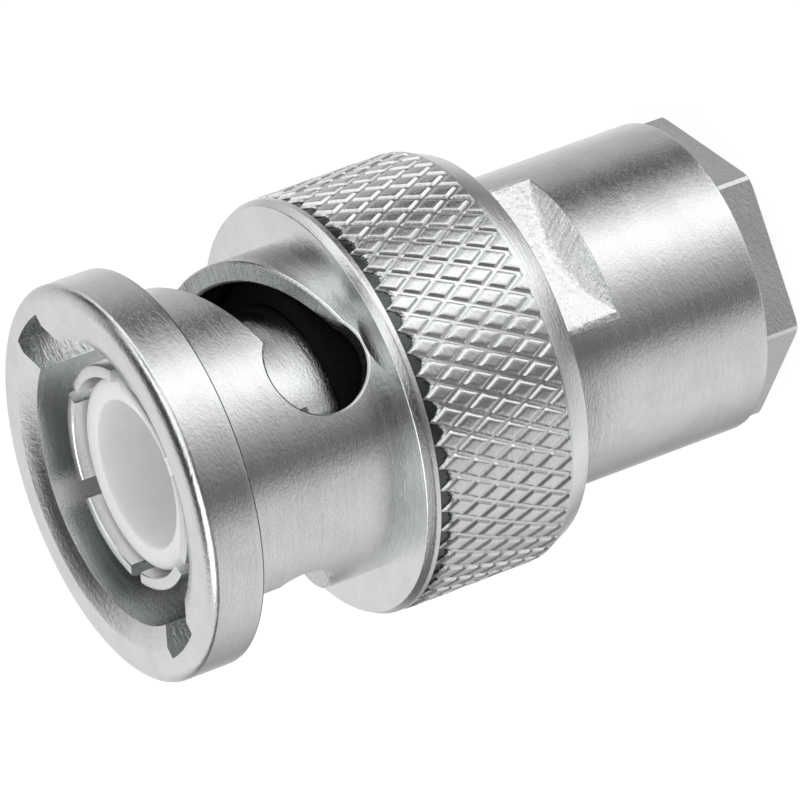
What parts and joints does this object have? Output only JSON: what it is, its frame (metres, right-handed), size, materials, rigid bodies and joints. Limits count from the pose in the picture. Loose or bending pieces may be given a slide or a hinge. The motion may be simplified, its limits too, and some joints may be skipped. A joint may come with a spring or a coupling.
{
  "type": "bayonet coaxial cable plug",
  "caption": "Bayonet-lock coaxial cable plug with a knurled coupling nut, spring contact fingers and a hexagonal clamp nut at the cable end.",
  "frame": {"origin": "centre of the clamp nut's rear face, on the axis", "axes": "+Z along the axis from the cable end to the mating face; the barrel's wrench flats face +Y and -Y"},
  "size_m": [0.0144, 0.0144, 0.0238],
  "materials": {
    "plated_brass": "nickel plate over turned brass, satin",
    "bare_brass": "turned",
    "spring_steel": "bright spring strip",
    "white_insulator": "smooth waxy fluoropolymer",
    "black_rubber": "matt silicone rubber"
  },
  "bodies": {
    "plug_body": {"connector_body": "plated_brass", "front_insulator": "white_insulator", "rear_insulator": "white_insulator", "front_seal": "black_rubber", "retaining_ring": "spring_steel", "stop_washer": "spring_steel", "upper_wave_washer": "spring_steel", "lower_wave_washer": "spring_steel", "braid_clamp": "bare_brass", "cable_seal": "black_rubber"},
    "thrust_ring": {"thrust_washer": "spring_steel"},
    "bayonet": {"coupling_nut": "plated_brass"},
    "seal_washer": {"clamp_washer": "spring_steel"},
    "rear_nut": {"clamp_nut": "plated_brass"}
  },
  "joints": [
    {"name": "bayonet_spring", "type": "slide", "parent": "plug_body", "child": "thrust_ring", "axis": [0, 0, 1], "range_m": [0, 0.0008], "stiffness_N_per_m": 8000, "springref_m": -0.0003, "deforming": ["upper_wave_washer", "lower_wave_washer"]},
    {"name": "bayonet_turn", "type": "hinge", "parent": "thrust_ring", "child": "bayonet", "pos_m": [0, 0, 0.01645], "axis": [0, 0, 1], "continuous": true},
    {"name": "clamp_advance", "type": "slide", "parent": "plug_body", "child": "seal_washer", "axis": [0, 0, -1], "range_m": [0, 0.00225]},
    {"name": "clamp_turn", "type": "hinge", "parent": "seal_washer", "child": "rear_nut", "pos_m": [0, 0, 0.0008], "axis": [0, 0, -1], "range_deg": [0, 1080]}
  ],
  "couplings": [
    {"joint": "clamp_turn", "follows": "clamp_advance", "rad_per_m": 8377.6}
  ]
}
